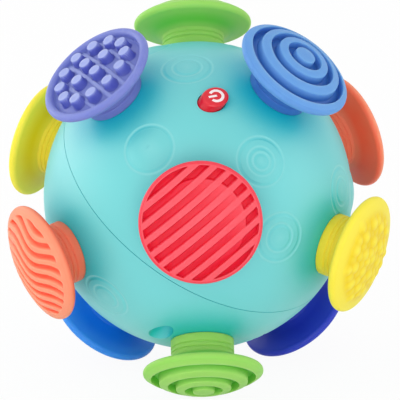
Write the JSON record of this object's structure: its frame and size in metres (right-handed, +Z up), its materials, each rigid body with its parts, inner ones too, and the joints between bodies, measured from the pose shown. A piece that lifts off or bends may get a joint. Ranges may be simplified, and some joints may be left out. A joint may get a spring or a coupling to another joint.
{
  "type": "sensory ball",
  "caption": "Motorised sensory ball: hollow shell ringed by soft disc-shaped knobs with ridges, pegs, nubs, waves and rings, a push button, a swinging weight and a battery bay.",
  "frame": {"origin": "centre of the ball", "axes": "+Z up as the ball rests on three knobs, -Y towards the red knob and the viewer"},
  "size_m": [0.1722, 0.1816, 0.1668],
  "materials": {
    "shell_teal": "moulded plastic with a soft sheen",
    "knob_red": "soft moulded rubber, satin",
    "knob_purple": "soft moulded rubber, satin",
    "knob_blue": "soft moulded rubber, satin",
    "knob_green": "soft moulded rubber, satin",
    "knob_orange": "soft moulded rubber, satin",
    "knob_yellow": "soft moulded rubber, satin",
    "button_red": "glossy moulded plastic",
    "screw_steel": "zinc plated",
    "black_steel": "black oxide",
    "shaft_steel": "ground steel",
    "weight_steel": "plain cast metal",
    "bush_brass": "plain brass",
    "contact_metal": "nickel plated",
    "plain_plastic": "plain moulded plastic",
    "gear_plastic": "self-lubricating plastic",
    "switch_black": "plain moulded plastic",
    "board_green": "coated board",
    "motor_can": "plated can",
    "cell_jacket": "plain wrapped cell"
  },
  "bodies": {
    "ball": {"upper_shell": "shell_teal", "lower_shell": "shell_teal", "shell_screws": "screw_steel", "knob_red_front": "knob_red", "knob_red_back": "knob_red", "knob_purple_top": "knob_purple", "knob_purple_base": "knob_purple", "knob_blue_top": "knob_blue", "knob_blue_base": "knob_blue", "knob_green_top": "knob_green", "knob_green_base": "knob_green", "knob_orange_left": "knob_orange", "knob_orange_right": "knob_orange", "knob_yellow_right": "knob_yellow", "knob_yellow_left": "knob_yellow", "battery_box": "plain_plastic", "battery_cells": "cell_jacket", "knob_plugs": "plain_plastic", "push_switch": "switch_black", "circuit_board": "board_green", "board_screws": "screw_steel", "chassis": "plain_plastic", "gear_cover": "plain_plastic", "gear_cover_screws": "screw_steel", "motor": "motor_can", "motor_end_cap": "plain_plastic", "compound_pin": "shaft_steel", "shaft_bushes": "bush_brass", "battery_box_screws": "screw_steel", "battery_contacts": "contact_metal", "battery_springs": "contact_metal"},
    "button": {"power_button": "button_red", "switch_stem": "plain_plastic"},
    "weight": {"output_gear": "gear_plastic", "output_shaft": "shaft_steel", "swing_weight": "weight_steel", "weight_screw": "black_steel"},
    "compound": {"compound_gear": "gear_plastic"},
    "rotor": {"motor_shaft": "shaft_steel", "motor_pinion": "gear_plastic"},
    "door": {"battery_door": "shell_teal", "door_screw": "screw_steel"}
  },
  "joints": [
    {"name": "button_press", "type": "slide", "parent": "ball", "child": "button", "axis": [-0.5257, 0.3035, -0.7947], "range_m": [0, 0.0015], "stiffness_N_per_m": 600},
    {"name": "weight_spin", "type": "hinge", "parent": "ball", "child": "weight", "pos_m": [0, 0, 0], "axis": [0.5257, -0.3035, 0.7947], "continuous": true},
    {"name": "compound_spin", "type": "hinge", "parent": "ball", "child": "compound", "pos_m": [0.01843, -0.00559, -0.01433], "axis": [0.5257, -0.3035, 0.7947], "continuous": true},
    {"name": "motor_spin", "type": "hinge", "parent": "ball", "child": "rotor", "pos_m": [0.01766, 0.01365, -0.00647], "axis": [0.5257, -0.3035, 0.7947], "continuous": true},
    {"name": "door_lift", "type": "slide", "parent": "ball", "child": "door", "axis": [-0.5774, 0.7454, -0.3333], "range_m": [0, 0.03]}
  ],
  "couplings": [
    {"joint": "compound_spin", "follows": "weight_spin", "ratio": -3},
    {"joint": "motor_spin", "follows": "weight_spin", "ratio": 10}
  ]
}
